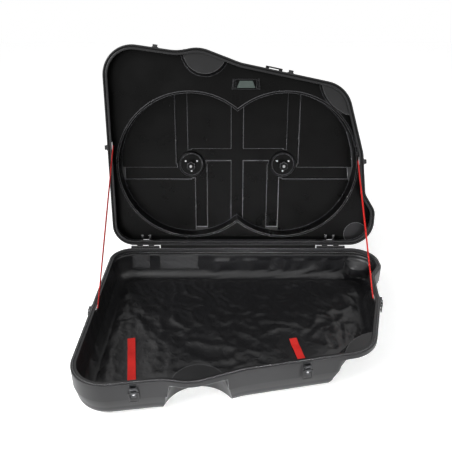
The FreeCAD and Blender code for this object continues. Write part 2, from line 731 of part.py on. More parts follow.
def trolley_wheels():
    """A wheel on a fixed axle in the corner pocket of each half, and two skids on the hinge side."""
    y = BACK_Y - WHEEL_V
    low = WHEEL_LOW
    high = WHEEL_LOW + WHEEL_W
    tyre = tyre_ring(y, low, high)
    hub = cylinder(HUB_R, WHEEL_X, y, low, high).cut(cylinder(AXLE_R + RUN_CLEAR, WHEEL_X, y, low, high))
    axle = cylinder(AXLE_R, WHEEL_X, y, low - WHEEL_SIDE_CLEAR, high + WHEEL_SIDE_CLEAR)
    skids = []
    for x in SKID_XS:
        runner = box(x - SKID_W / 2, x + SKID_W / 2, BACK_Y - EDGE_R, BACK_Y + SKID_OUT, 0, DEPTH - SKID_TOP)
        skids.append(runner.cut(half_volume(0.0)))
    skids = Part.makeCompound(skids)
    for half, place in (("base", lambda shape: shape), ("lid", to_lid)):
        save(half + "_wheel_tyre", place(tyre))
        save(half + "_wheel_hub", place(hub))
        save(half + "_wheel_axle", place(axle))
        save(half + "_skids", place(skids))


os.makedirs("parts", exist_ok=True)
shells()
liner_and_pockets()
wells()
hub_mounts()
grip_plate()
carry_handle()
hinges()
hinge_cover()
latches()
stays()
tie_straps()
trolley_wheels()
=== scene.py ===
# %% [markdown]
# # A hard travel case for a bicycle
# The case stands open: the base half lies on the floor and the lid half leans back on two hinges. The rigid
# parts come as a fixed frame from the construction. This lesson gives them rounded edges, real materials, a
# fabric lining that creases, and webbing, and then lights and photographs them.

# %% Load the frame
import json
import math

import bmesh
import bpy
from mathutils import Matrix, Vector, kdtree, noise


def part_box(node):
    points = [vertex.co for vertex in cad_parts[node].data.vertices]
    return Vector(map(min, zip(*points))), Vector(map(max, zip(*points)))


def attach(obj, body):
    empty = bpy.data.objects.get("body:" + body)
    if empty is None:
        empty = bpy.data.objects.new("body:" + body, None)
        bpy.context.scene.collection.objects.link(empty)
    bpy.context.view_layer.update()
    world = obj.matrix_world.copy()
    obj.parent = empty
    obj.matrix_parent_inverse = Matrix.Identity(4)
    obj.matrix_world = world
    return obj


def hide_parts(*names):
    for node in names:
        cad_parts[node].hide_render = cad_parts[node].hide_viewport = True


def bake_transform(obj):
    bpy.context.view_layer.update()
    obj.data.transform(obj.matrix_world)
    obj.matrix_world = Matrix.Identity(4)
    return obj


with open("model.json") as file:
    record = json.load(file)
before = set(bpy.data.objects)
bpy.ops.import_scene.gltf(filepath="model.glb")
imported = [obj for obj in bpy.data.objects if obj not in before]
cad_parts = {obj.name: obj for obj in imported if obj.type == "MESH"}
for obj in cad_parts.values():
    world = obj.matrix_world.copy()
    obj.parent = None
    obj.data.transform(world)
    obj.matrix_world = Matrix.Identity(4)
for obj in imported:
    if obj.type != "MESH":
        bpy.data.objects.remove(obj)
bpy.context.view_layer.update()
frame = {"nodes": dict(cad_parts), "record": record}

# %% [markdown]
# The camera stands a little left of the middle, well above the case, and looks down at it. Its place and
# lens are set first, so that every later render can be laid over the same view.

# %% Camera
camera_data = bpy.data.cameras.new("camera")
camera_data.sensor_width = 36.0
camera_data.lens = 41.87
PITCH_DOWN = math.radians(27.28)
camera = bpy.data.objects.new("camera", camera_data)
camera.location = (-0.0795, -1.6748, 1.3566)
camera.rotation_euler = (math.pi / 2 - PITCH_DOWN, 0, 0)
bpy.context.collection.objects.link(camera)
bpy.context.scene.camera = camera
print("camera lens", camera_data.lens)

# %% [markdown]
# Colours are written as the hex values that a screen shows. Blender's shaders work in linear light, so one
# function converts them. A second one adds a shader node, sets its values and links its sockets, which
# keeps each material readable as a list of steps.

# %% Colour and node helpers
def linear(hex_code):
    """Linear RGBA from an sRGB hex value."""
    values = [int(hex_code[i:i + 2], 16) / 255 for i in (1, 3, 5)]
    return [v / 12.92 if v <= 0.04045 else ((v + 0.055) / 1.055) ** 2.4 for v in values] + [1.0]


def add(tree, kind, sockets, stops=(), **settings):
    """Add a node with its settings; a socket takes a value, or another node's output as a link."""
    node = tree.nodes.new(kind)
    for name, value in settings.items():
        setattr(node, name, value)
    for name, value in sockets.items():
        if hasattr(value, "is_linked"):
            tree.links.new(value, node.inputs[name])
        else:
            node.inputs[name].default_value = value
    for index, (position, colour) in enumerate(stops):
        if index >= len(node.color_ramp.elements):
            node.color_ramp.elements.new(position)
        node.color_ramp.elements[index].position = position
        node.color_ramp.elements[index].color = linear(colour)
    return node


def new_material(name):
    """Material with its node tree, its shader and its texture coordinates."""
    material = bpy.data.materials.new(name)
    material.use_nodes = True
    tree = material.node_tree
    tree.nodes.clear()
    shader = add(tree, "ShaderNodeBsdfPrincipled", {})
    add(tree, "ShaderNodeOutputMaterial", {"Surface": shader.outputs["BSDF"]})
    place = add(tree, "ShaderNodeTexCoord", {})
    return material, tree, shader, place


MM = 0.001
finishes = {}
print("helpers ready")

# %% [markdown]
# The two shells are rotomoulded polyethylene: a tough, slightly waxy black plastic with a satin face. The
# mould leaves a fine pebble grain, which is drawn 3 mm wide here so that it shows at this distance, and
# handling leaves paler, duller patches. Both come from noise that reads object coordinates, so they are
# fixed to the plastic.

# %% Moulded plastics
def moulded(name, dark, pale, rough, grain_mm, depth_mm, shine):
    """Moulded plastic with a pebble grain and uneven gloss."""
    material, tree, shader, place = new_material(name)
    cloud = add(tree, "ShaderNodeTexNoise", {"Vector": place.outputs["Object"], "Scale": 9.0, "Detail": 5.0})
    tint = add(tree, "ShaderNodeValToRGB", {"Fac": cloud.outputs["Fac"]}, stops=((0.3, dark), (0.75, pale)))
    gloss = add(tree, "ShaderNodeMapRange", {"Value": cloud.outputs["Fac"], "From Min": 0.3, "From Max": 0.7,
                                             "To Min": rough - 0.05, "To Max": rough + 0.07})
    grain = add(tree, "ShaderNodeTexNoise", {"Vector": place.outputs["Object"], "Scale": 1 / (grain_mm * MM),
                                             "Detail": 2.0})
    pebble = add(tree, "ShaderNodeBump", {"Height": grain.outputs["Fac"], "Strength": 0.5,
                                          "Distance": depth_mm * MM})
    tree.links.new(tint.outputs["Color"], shader.inputs["Base Color"])
    tree.links.new(gloss.outputs["Result"], shader.inputs["Roughness"])
    tree.links.new(pebble.outputs["Normal"], shader.inputs["Normal"])
    shader.inputs["IOR"].default_value = 1.5
    shader.inputs["Specular IOR Level"].default_value = shine
    return material


# Dark and pale colour, roughness, grain width and depth in mm, shine.
finishes["shell"] = moulded("moulded_polyethylene", "#131314", "#1d1d1e", 0.36, 3.0, 0.12, 0.36)
finishes["inner_moulding"] = moulded("formed_abs_sheet", "#050505", "#0b0b0b", 0.30, 2.5, 0.08, 0.10)
finishes["grey_bar"] = moulded("grey_nylon", "#39433f", "#48524e", 0.45, 2.0, 0.05, 0.4)
finishes["wheel_hub"] = moulded("polypropylene", "#222223", "#2e2e2f", 0.4, 2.0, 0.05, 0.4)
finishes["seal"] = moulded("foam_rubber", "#080808", "#0e0e0e", 0.75, 1.5, 0.1, 0.2)
finishes["tyre"] = moulded("tyre_rubber", "#0e0e0e", "#161616", 0.7, 1.8, 0.15, 0.25)
print("plastics", list(finishes))

# %% [markdown]
# Edges of the black mouldings get a painted highlight: a paler colour that stands for the line of light a
# rounded edge catches. The Bevel node gives the normal of a rounded edge; where it turns away from the
# surface's own normal the point lies near an edge, hollow or raised, and the paler colour is painted in.

# %% Painted edge highlights
# Painted highlight along edges, for each slot: its pale colour and its width in mm.
painted_highlight = {"inner_moulding": ("#6c6c6f", 3.6), "shell": ("#7c7c7e", 2.4)}
for slot, (highlight_colour, highlight_mm) in painted_highlight.items():
    tree = finishes[slot].node_tree
    shader = tree.nodes["Principled BSDF"]
    plain = shader.inputs["Base Color"].links[0].from_socket
    rounded = add(tree, "ShaderNodeBevel", {"Radius": highlight_mm * MM}, samples=6)
    surface = add(tree, "ShaderNodeNewGeometry", {})
    turn = add(tree, "ShaderNodeVectorMath", {0: rounded.outputs["Normal"], 1: surface.outputs["Normal"]},
               operation="DOT_PRODUCT")
    # Mask of the painted edge highlight: 0 on flat faces, 1 on the rounded edges.
    near = add(tree, "ShaderNodeMapRange", {"Value": turn.outputs["Value"], "From Min": 0.985, "From Max": 0.90,
                                            "To Min": 0.0, "To Max": 1.0})
    highlight_mix = add(tree, "ShaderNodeMixRGB", {"Fac": near.outputs["Result"], "Color1": plain,
                                           "Color2": linear(highlight_colour)})
    tree.links.new(highlight_mix.outputs["Color"], shader.inputs["Base Color"])
print("rubbed edges on", list(painted_highlight))

# %% [markdown]
# The metal parts are pressed steel: zinc plated on the latches, painted black on the hinge leaves and
# bright on pins and screws. Plating has a slightly cloudy gloss, so the roughness of each follows a soft
# noise. A metal keeps the default index of refraction, and its colour is that of its reflection.

# %% Metals
def plated(name, dark, pale, rough, metallic, cloud_mm):
    """Metal or painted metal with a cloudy gloss."""
    material, tree, shader, place = new_material(name)
    cloud = add(tree, "ShaderNodeTexNoise", {"Vector": place.outputs["Object"], "Scale": 1 / (cloud_mm * MM),
                                             "Detail": 4.0})
    tint = add(tree, "ShaderNodeValToRGB", {"Fac": cloud.outputs["Fac"]}, stops=((0.3, dark), (0.7, pale)))
    gloss = add(tree, "ShaderNodeMapRange", {"Value": cloud.outputs["Fac"], "From Min": 0.3, "From Max": 0.7,
                                             "To Min": rough - 0.06, "To Max": rough + 0.08})
    tree.links.new(tint.outputs["Color"], shader.inputs["Base Color"])
    tree.links.new(gloss.outputs["Result"], shader.inputs["Roughness"])
    shader.inputs["Metallic"].default_value = metallic
    return material


# Dark and pale colour, roughness, metallic, width of the clouds in mm.
finishes["steel"] = plated("satin_steel", "#a9a9aa", "#bfbfc0", 0.32, 1.0, 6.0)
finishes["bright_metal"] = plated("polished_steel", "#c6c6c8", "#d8d8da", 0.16, 1.0, 8.0)
finishes["latch_metal"] = plated("zinc_plated_steel", "#4c4d4f", "#606163", 0.34, 1.0, 7.0)
finishes["hinge_black"] = plated("painted_steel", "#131314", "#1d1d1e", 0.38, 0.0, 9.0)
print("metals", [m.name for m in bpy.data.materials])

# %% [markdown]
# The soft parts are woven: a close black nylon lining, a thicker grey polyester for the pockets, and red
# polyester webbing. A weave is two sets of threads that cross, so two wave textures at right angles read
# the piece's own UV map, which is laid out in metres along and across the cloth. The threads are drawn
# wider than the real 0.5 to 1.5 mm so that they show at this distance.

# %% Woven fabrics
def woven(name, dark, pale, thread_mm, relief_mm, rough, shine):
    """Plain weave on the piece's UV map, which is in metres."""
    material, tree, shader, place = new_material(name)
    scale = math.pi / (10 * thread_mm * MM)
    warp = add(tree, "ShaderNodeTexWave", {"Vector": place.outputs["UV"], "Scale": scale, "Distortion": 0.4,
                                           "Detail": 1.0, "Detail Scale": 2.0}, bands_direction="X")
    weft = add(tree, "ShaderNodeTexWave", {"Vector": place.outputs["UV"], "Scale": scale, "Distortion": 0.4,
                                           "Detail": 1.0, "Detail Scale": 2.0}, bands_direction="Y")
    cross = add(tree, "ShaderNodeMath", {0: warp.outputs["Fac"], 1: weft.outputs["Fac"]}, operation="MULTIPLY")
    cloud = add(tree, "ShaderNodeTexNoise", {"Vector": place.outputs["Object"], "Scale": 14.0, "Detail": 4.0})
    shade = add(tree, "ShaderNodeMath", {0: cross.outputs["Value"], 1: cloud.outputs["Fac"]}, operation="ADD")
    tint = add(tree, "ShaderNodeValToRGB", {"Fac": shade.outputs["Value"]}, stops=((0.3, dark), (1.0, pale)))
    relief = add(tree, "ShaderNodeBump", {"Height": cross.outputs["Value"], "Strength": 0.6,
                                          "Distance": relief_mm * MM})
    tree.links.new(tint.outputs["Color"], shader.inputs["Base Color"])
    tree.links.new(relief.outputs["Normal"], shader.inputs["Normal"])
    shader.inputs["Roughness"].default_value = rough
    shader.inputs["Specular IOR Level"].default_value = shine
    shader.inputs["Sheen Weight"].default_value = 0.03
    shader.inputs["Sheen Roughness"].default_value = 0.4
    return material


# Dark and pale colour, thread width and relief in mm, roughness, shine.
finishes["lining"] = woven("nylon_lining", "#060607", "#101012", 2.5, 0.15, 0.36, 0.56)
finishes["pocket_fabric"] = woven("polyester_cloth", "#202021", "#323233", 3.0, 0.2, 0.7, 0.2)
finishes["red_webbing"] = woven("polyester_webbing", "#a31512", "#de2f29", 3.0, 0.25, 0.6, 0.25)
print("fabrics ready")

# %% [markdown]
# Thin coated nylon also keeps fine creases, smaller than the folds that are modelled below. They are ridges
# of a fractal noise in object coordinates, 26 mm apart, and they bend the normal that the weave has already
# bent.

# %% Crinkled nylon
CRINKLE_MM, CRINKLE_DEPTH_MM = 26.0, 1.2
tree = finishes["lining"].node_tree
shader = tree.nodes["Principled BSDF"]
weave_normal = shader.inputs["Normal"].links[0].from_socket
cloth_place = tree.nodes["Texture Coordinate"].outputs["Object"]
ridge = add(tree, "ShaderNodeTexNoise", {"Vector": cloth_place, "Scale": 1 / (CRINKLE_MM * MM), "Detail": 3.0,
                                         "Distortion": 0.8}, noise_type="RIDGED_MULTIFRACTAL")
creased = add(tree, "ShaderNodeBump", {"Height": ridge.outputs["Fac"], "Normal": weave_normal, "Strength": 1.0,
                                       "Distance": CRINKLE_DEPTH_MM * MM})
tree.links.new(creased.outputs["Normal"], shader.inputs["Normal"])
print("crinkles", CRINKLE_MM, "mm apart")

# %% [markdown]
# The construction's record says which finish each part has. Every part gets the material of its slot, so
# nothing keeps a plain colour, and the pieces that are modelled further down take theirs from the same
# table.

# %% Dress the frame
part_slot = {row["node"]: row["material_slot"] for row in frame["record"]["subparts"]}
part_body = {node: body for body, nodes in frame["record"]["behaviour"]["bodies"].items() for node in nodes}
for name, part in frame["nodes"].items():
    part.data.materials.clear()
    part.data.materials.append(finishes[part_slot[name]])
print("dressed", len(part_slot), "parts")

# %% [markdown]
# The construction leaves edges knife sharp, and no moulded or pressed part is. A sharp edge also shows no
# line of light. Each rigid part is copied, its loose triangles are merged and flat areas joined to whole
# faces, and a Bevel modifier rounds every edge that turns by more than 35 degrees. A Weighted Normal
# modifier then lets the large faces set the shading, so they stay level and only the rounded edges catch
# the light. The copy stands for the part.

# %% Rounded copies
ROUNDED_FROM = math.radians(35)
SMOOTH_UP_TO = math.radians(40)
SAME_POINT_MM = 0.02


def rounded_copy(name, width_mm):
    """Copy of a frame part with rounded edges; it rides on the same body and replaces the part."""
    bpy.ops.object.select_all(action="DESELECT")
    part = frame["nodes"][name]
    piece = bpy.data.objects.new("soft_edged_" + name, part.data.copy())
    bpy.context.collection.objects.link(piece)
    bpy.context.view_layer.objects.active = piece
    piece.select_set(True)
    bpy.ops.object.mode_set(mode="EDIT")
    bpy.ops.mesh.select_all(action="SELECT")
    bpy.ops.mesh.remove_doubles(threshold=SAME_POINT_MM * MM)
    bpy.ops.mesh.dissolve_limited(angle_limit=math.radians(0.6))
    bpy.ops.object.mode_set(mode="OBJECT")
    bevel = piece.modifiers.new("rounded_edges", "BEVEL")
    bevel.width = width_mm * MM
    bevel.segments = 2
    bevel.limit_method = "ANGLE"
    bevel.angle_limit = ROUNDED_FROM
    bevel.use_clamp_overlap = True
    bpy.ops.object.modifier_apply(modifier=bevel.name)
    bpy.ops.object.shade_smooth_by_angle(angle=SMOOTH_UP_TO)
    level = piece.modifiers.new("level_faces", "WEIGHTED_NORMAL")
    level.keep_sharp = True
    bpy.ops.object.modifier_apply(modifier=level.name)
    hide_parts(name)
    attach(piece, part_body[name])
    return piece


edge_rounds = {
    "wheel_well_moulding": 2.2, "well_floor_panel": 2.2, "hub_mount_left": 1.5, "hub_mount_right": 1.5,
    "hub_knob_left": 1.0, "hub_knob_right": 1.0, "grip_plate": 0.8, "grip_plate_posts": 1.5,
    "grip_plate_bar": 1.0, "carry_handle": 2.0, "hinge_cover_strip": 1.5, "base_skids": 2.0, "lid_skids": 2.0,
    "hinge_posts": 1.2, "hinge_bars": 0.8, "hinge_backing_left": 0.8, "hinge_backing_right": 0.8,
    "hinge_backing_screws": 0.7, "hub_mount_screws": 0.7, "hinge_base_leaf_left": 0.6,
    "hinge_base_leaf_right": 0.6, "hinge_lid_leaf_left": 0.6, "hinge_lid_leaf_right": 0.6,
    "hinge_screws_base": 0.7, "hinge_screws_lid": 0.7, "stay_anchors_base": 0.8, "stay_anchors_lid": 0.8,
    "base_wheel_tyre": 1.5, "lid_wheel_tyre": 1.5, "base_wheel_hub": 1.0, "lid_wheel_hub": 1.0,
    "hub_studs": 0.6,
}
for place in ("front_left", "front_right", "left", "right"):
    edge_rounds["latch_plate_" + place] = 0.5
    edge_rounds["latch_lever_" + place] = 0.4
    edge_rounds["latch_bail_" + place] = 0.9
    edge_rounds["latch_keeper_" + place] = 0.5
for name, width_mm in edge_rounds.items():
    piece = rounded_copy(name, width_mm)
    print(piece.name, len(piece.data.polygons), "faces")

# %% [markdown]
# Both halves have the same outline: ten straight edges with a bend between each two. The shells, the lining
# and the folds all follow it, so it is worked out once here, as a loop of points that can be moved inwards
# by any amount. Every loop has the same number of points, which lets neighbouring loops be joined by four-
# sided faces.

# %% Rim outline
LENGTH = 1.204
WIDTH = 0.905
DEPTH = 0.145
WALL = 0.004
BACK_Y = WIDTH / 2
EDGE_SPACING = 0.0112
BEND_STEP = 4
SMALLEST_BEND = 0.002
# Each corner: x, distance from the back edge, radius of the bend.
rim_corners = [
    (-0.602, 0.0, 0.095), (-0.602, 0.905, 0.130), (-0.282, 0.860, 0.200), (-0.192, 0.878, 0.150),
    (-0.017, 0.813, 0.200), (0.438, 0.720, 0.140), (0.528, 0.430, 0.150), (0.551, 0.245, 0.060),
    (0.602, 0.165, 0.070), (0.602, 0.0, 0.110),
]
rim_points = [Vector((x, BACK_Y - v)) for x, v, bend in rim_corners]
edge_runs = [after - here for here, after in zip(rim_points, rim_points[1:] + rim_points[:1])]
edge_along = [run.normalized() for run in edge_runs]
edge_out = [Vector((a.y, -a.x)) for a in edge_along]
edge_steps = [max(2, round(run.length / EDGE_SPACING)) for run in edge_runs]


def rim_loop(inset):
    """Points round the outline, moved inwards, with the same count for every inset."""
    bends = []
    for i, (x, v, bend) in enumerate(rim_corners):
        first, last = edge_along[i - 1], edge_along[i]
        turn = math.atan2(first.x * last.y - first.y * last.x, first.dot(last))
        radius = max(bend - inset if turn > 0 else bend + inset, SMALLEST_BEND)
        shift = (edge_out[i - 1] + edge_out[i]) * (inset / (1 + edge_out[i - 1].dot(edge_out[i])))
        corner = rim_points[i] - shift
        start = corner - first * (radius * math.tan(abs(turn) / 2))
        side = 1 if turn > 0 else -1
        centre = start - edge_out[i - 1] * (radius * side)
        steps = max(4, round(abs(math.degrees(turn)) / BEND_STEP))
        spoke = start - centre
        bends.append([centre + Matrix.Rotation(turn * k / steps, 2) @ spoke for k in range(steps + 1)])
    loop = []
    for i, bend in enumerate(bends):
        following = bends[(i + 1) % len(bends)][0]
        loop += bend
        loop += [bend[-1].lerp(following, k / edge_steps[i]) for k in range(1, edge_steps[i])]
    return loop


print("outline points", len(rim_loop(0.0)))

# %% [markdown]
# Three round hollows are pressed into each half: a hand grip in the front edge, one at the front right
# corner, and a pocket for the trolley wheel. The grips flare towards the floor, so that a hand comes in
# from below. A point that would lie inside one of these cones is moved to its inner wall, so the same loops
# give the hollow on the outside and the bulge on the inside.

# %% Hand grips and wheel pocket
GRIP_TOP = DEPTH - 0.018
BASE_FLARE = (0.037, 0.055, 0.0)
LID_FLARE = (0.037, 0.008, 0.0)
BELOW_FLOOR = -0.01
FRONT_EDGE, FRONT_GRIP_X, FRONT_GRIP_R, FRONT_GRIP_DEEP = 3, -0.165, 0.088, 0.097
CORNER_EDGE, CORNER_GRIP_ALONG, CORNER_GRIP_R, CORNER_GRIP_DEEP = 5, 0.012, 0.165, 0.090
POCKET_R, POCKET_LOW, POCKET_HIGH = 0.051, 0.049, 0.081


def on_edge(edge, x):
    """Point of a straight edge of the outline at a given x."""
    return rim_points[edge] + edge_along[edge] * ((x - rim_points[edge].x) / edge_along[edge].x)


front_out = edge_out[FRONT_EDGE]
front_grip = on_edge(FRONT_EDGE, FRONT_GRIP_X) + front_out * (FRONT_GRIP_R - FRONT_GRIP_DEEP)
corner_out = (edge_out[CORNER_EDGE - 1] + edge_out[CORNER_EDGE] * 1.3).normalized()
corner_start = rim_points[CORNER_EDGE] + edge_along[CORNER_EDGE] * CORNER_GRIP_ALONG
corner_grip = corner_start + corner_out * (CORNER_GRIP_R - CORNER_GRIP_DEEP)
pocket_centre = Vector((0.534, BACK_Y - 0.036))
# Each hollow: centre, direction into the case, radius, lowest and highest point.
hollows = [
    (front_grip, -front_out, FRONT_GRIP_R, BELOW_FLOOR, GRIP_TOP),
    (corner_grip, -corner_out, CORNER_GRIP_R, BELOW_FLOOR, GRIP_TOP),
    (pocket_centre, Vector((-0.494, -0.870)), POCKET_R, POCKET_LOW, POCKET_HIGH),
]


def pressed(loop, z, grow, flares):
    """Loop whose points inside a hollow are spread over its inner wall, which is grown by a thickness."""
    loop = list(loop)
    for (centre, inward, radius, low, high), flare in zip(hollows, flares):
        reach = radius + grow + flare * (1 - z / (high + grow))
        inside = [(p - centre).length < reach for p in loop]
        if not low - grow < z < high + grow or not any(inside):
            continue
        start = next(i for i in range(len(loop)) if inside[i] and not inside[i - 1])
        run = [start]
        while inside[(run[-1] + 1) % len(loop)]:
            run.append((run[-1] + 1) % len(loop))
        first, last = (inward.angle_signed(loop[i] - centre) for i in (run[0], run[-1]))
        for k, i in enumerate(run):
            angle = first + (last - first) * k / max(1, len(run) - 1)
            loop[i] = centre + Matrix.Rotation(-angle, 2) @ inward * reach
    return loop


def loft(name, loops, capped):
    """Join loops of points by faces, with a UV map in metres round and along them."""
    mesh = bmesh.new()
    layer = mesh.loops.layers.uv.new("UVMap")
    rings = [[mesh.verts.new(point) for point in loop] for loop in loops]
    count = len(rings[0])
    along = [0.0]
    for before, after in zip(loops, loops[1:]):
        along.append(along[-1] + sum((a - b).length for a, b in zip(before, after)) / count)
    widest = max(loops, key=lambda loop: sum((a - b).length for a, b in zip(loop, loop[1:])))
    around = [0.0]
    for i in range(count):
        around.append(around[-1] + (widest[(i + 1) % count] - widest[i]).length)
    for k in range(len(rings) - 1):
        for i in range(count):
            j = (i + 1) % count
            face = mesh.faces.new((rings[k][i], rings[k][j], rings[k + 1][j], rings[k + 1][i]))
            places = ((i, k), (i + 1, k), (i + 1, k + 1), (i, k + 1))
            for corner, (u, v) in zip(face.loops, places):
                corner[layer].uv = (around[u], along[v])
    if capped:
        for ring in (rings[0], rings[-1]):
            cap = mesh.faces.new(ring)
            for corner in cap.loops:
                corner[layer].uv = corner.vert.co.xy
    data = bpy.data.meshes.new(name)
    mesh.to_mesh(data)
    mesh.free()
    piece = bpy.data.objects.new(name, data)
    bpy.context.collection.objects.link(piece)
    bpy.ops.object.select_all(action="DESELECT")
    bpy.context.view_layer.objects.active = piece
    piece.select_set(True)
    return piece


print("front grip centre", tuple(round(c, 3) for c in front_grip))

# %% [markdown]
# A shell is one moulding, so it is one closed skin: across the outer floor, round its edge, up the drafted
# wall to the rim band, over the lip with its tongue or groove, and down the inside again. The section is
# drawn once as a line, its corners are rounded, and a loop of the outline is laid at each of its points.
# This gives the long, even lines of light along rim and floor that the moulding shows.

# %% Shell section
RIM_BAND = 0.066
DRAFT = 0.008
EDGE_R = 0.045
LIP_W = 0.020
LIP_H = 0.012
STEP_GAP = 0.0008
EDGE_POINTS = 10
CORNER_R = 0.0022
CORNER_POINTS = 3


def wall_section(offset):
    """Rim band to floor, as (inset, height), for a wall moved inwards by offset."""
    band_end = DEPTH - RIM_BAND
    low, high = POCKET_LOW - offset, POCKET_HIGH + offset
    section = [(offset, high + STEP_GAP), (offset, high - STEP_GAP), (offset, band_end)]
    for z in (low + STEP_GAP, low - STEP_GAP):
        if z > EDGE_R:
            section.append((offset + DRAFT * (band_end - z) / (band_end - EDGE_R), z))
    radius = EDGE_R - offset
    for step in range(EDGE_POINTS + 1):
        angle = math.pi / 2 * step / EDGE_POINTS
        section.append((DRAFT + EDGE_R - radius * math.cos(angle), EDGE_R - radius * math.sin(angle)))
    return section


def rounded_line(points, radius):
    """Line with each sharp corner replaced by a short arc."""
    line = [points[0]]
    for before, here, after in zip(points, points[1:], points[2:]):
        a, b, c = Vector(before), Vector(here), Vector(after)
        turn = (b - a).angle(c - b)
        if turn < math.radians(20):
            line.append(here)
            continue
        cut = min(radius * math.tan(turn / 2), 0.45 * (b - a).length, 0.45 * (c - b).length)
        first, last = b + (a - b).normalized() * cut, b + (c - b).normalized() * cut
        for k in range(CORNER_POINTS + 1):
            t = k / CORNER_POINTS
            line.append(tuple(first * (1 - t) ** 2 + b * (2 * t * (1 - t)) + last * t ** 2))
    return line + [points[-1]]


def shell_loops(rim, flares):
    """Loops of one half's closed skin, outer floor first and inner floor last."""
    ceiling = GRIP_TOP + WALL
    slope = LIP_W - (LIP_W - WALL) * (DEPTH - LIP_H - ceiling) / LIP_H
    outer = wall_section(0.0)[::-1] + [(0.0, GRIP_TOP - STEP_GAP), (0.0, GRIP_TOP + STEP_GAP)]
    inner = [(slope, ceiling + STEP_GAP), (slope, ceiling - STEP_GAP), (WALL, DEPTH - 2 * LIP_H)]
    inner += wall_section(WALL)
    middle = rounded_line(outer[-1:] + rim + inner[:1], CORNER_R)
    loops = []
    for inset, z in outer[:-1]:
        loops.append([Vector((p.x, p.y, z)) for p in pressed(rim_loop(inset), z, 0.0, flares)])
    for inset, z in middle:
        loops.append([Vector((p.x, p.y, z)) for p in rim_loop(inset)])
    for inset, z in inner[1:]:
        loops.append([Vector((p.x, p.y, z)) for p in pressed(rim_loop(inset), z, WALL, flares)])
    return loops


print("section points", len(wall_section(0.0)))

# %% Base and lid shells
HINGE = Vector((0, BACK_Y + 0.009, 0.1452))
OPEN_ANGLE = math.radians(99.5)
flip = Matrix.Scale(-1, 4, (0, 0, 1))
lid_place = Matrix.Translation(HINGE) @ Matrix.Rotation(-OPEN_ANGLE, 4, "X") @ flip @ Matrix.Translation(-HINGE)
TONGUE, TONGUE_TOP = (0.007, 0.010), DEPTH + 0.003
GROOVE, GROOVE_END = (0.006, 0.011), DEPTH - 0.006
base_rim, lid_rim = (
    [(0.0, DEPTH), (near, DEPTH), (near, z), (far, z), (far, DEPTH), (LIP_W, DEPTH), (LIP_W, DEPTH - LIP_H)]
    for (near, far), z in ((TONGUE, TONGUE_TOP), (GROOVE, GROOVE_END))
)


def finish_shell(name, loops, node, body):
    """Make a half's skin, point its faces outwards and let it stand for the frame's part."""
    piece = loft(name, loops, True)
    bpy.ops.object.mode_set(mode="EDIT")
    bpy.ops.mesh.select_all(action="SELECT")
    bpy.ops.mesh.normals_make_consistent(inside=False)
    bpy.ops.object.mode_set(mode="OBJECT")
    bpy.ops.object.shade_smooth_by_angle(angle=math.radians(38))
    piece.data.materials.append(finishes["shell"])
    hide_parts(node)
    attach(piece, body)
    print(piece.name, len(piece.data.polygons), "faces")


finish_shell("base_moulding", shell_loops(base_rim, BASE_FLARE), "base_shell", "base")
lid_loops = [[lid_place @ point for point in loop] for loop in shell_loops(lid_rim, LID_FLARE)]
finish_shell("lid_moulding", lid_loops, "lid_shell", "lid")

# %% [markdown]
# A rubber strip covers the gap between the two hinges. Its outer side ends in a soft lip, so the points on
# that side are drawn out by 4 mm, away from the lid's back wall.

# %% Hinge cover lip
COVER_LIP = 0.004
lip_way = Vector((0, math.cos(OPEN_ANGLE), -math.sin(OPEN_ANGLE)))
cover = bpy.data.objects["soft_edged_hinge_cover_strip"]
lip_points = [vertex for vertex in cover.data.vertices if (vertex.co - HINGE).dot(lip_way) > 0]
for vertex in lip_points:
    vertex.co += lip_way * COVER_LIP
print("lip points", len(lip_points), "of", len(cover.data.vertices))

# %% [markdown]
# The tray is lined with thin black nylon. It is cut a little too large, glued along the top of the wall and
# laid loose below, so it falls into upright creases on the walls and low folds on the floor. The outline
# loops carry the wall. The floor is one large face, cut by planes into an 8 mm grid, and raised by the same
# kind of creases. They come from smooth noise for the long creases and ridged noise for the small sharp
# ones, and fade at the glued edge, behind the pockets and under the straps.

# %% Lining
LINER_TOP = 0.115
LINER_OFFSET = WALL + 0.0009
CREASE_W = 0.05
CRINKLE_W = 0.07
FLOOR_FOLD = 0.011
WALL_FOLD = 0.010
# Each tie strap: where it starts at the front and where it ends, with the cloth flat between the two.
strap_lines = [(Vector((-0.392, -0.32)), Vector((-0.452, -0.04))),
               (Vector((0.236, -0.20)), Vector((0.184, -0.04)))]
STRAP_FLAT, STRAP_FADE = 0.03, 0.06
GLUE_FADE = 0.05
COVE_LOW, COVE_FADE = -0.025, 0.03
POCKETS_X, POCKETS_HALF, POCKETS_FADE = -0.36, 0.19, 0.04


def clamp(value):
    """Value held between 0 and 1."""
    return max(0.0, min(1.0, value))


def crease(u, v, stretch):
    """Height from 0 to 1 of soft creases that run along v; stretch is their length over their width."""
    u, v = u / CREASE_W, v / (CREASE_W * stretch)
    bend = noise.noise(Vector((u * 0.5, v * 0.7, 3.7)))
    sharp = 1 - abs(noise.noise(Vector((u + 1.3 * bend, v, 0.0)))) * 2.2
    broad = 0.5 + 0.5 * noise.noise(Vector((u * 0.35 + bend, v * 0.5, 8.1)))
    return max(0.0, sharp) ** 3 * broad + 0.6 * broad ** 2


def crinkle(u, v):
    """Height from 0 to about 1 of the sharp, wandering creases of thin cloth, about 70 mm apart."""
    bend = 0.6 * noise.noise(Vector((u, v, 5.2)) / 0.11)
    spot = Vector((u / CRINKLE_W + bend, v / CRINKLE_W - bend, 1.9))
    return 0.45 * noise.ridged_multi_fractal(spot, 0.9, 2.0, 2, 1.0, 1.6)


def slack(x, y):
    """How loose the cloth is, from 0 to 1: most at the back and on the right."""
    right = clamp((x - 0.12) / 0.25)
    back = math.exp(-((x + 0.20) / 0.22) ** 2) * clamp((y + 0.1) / 0.3)
    return 0.35 + 0.65 * max(right, back)


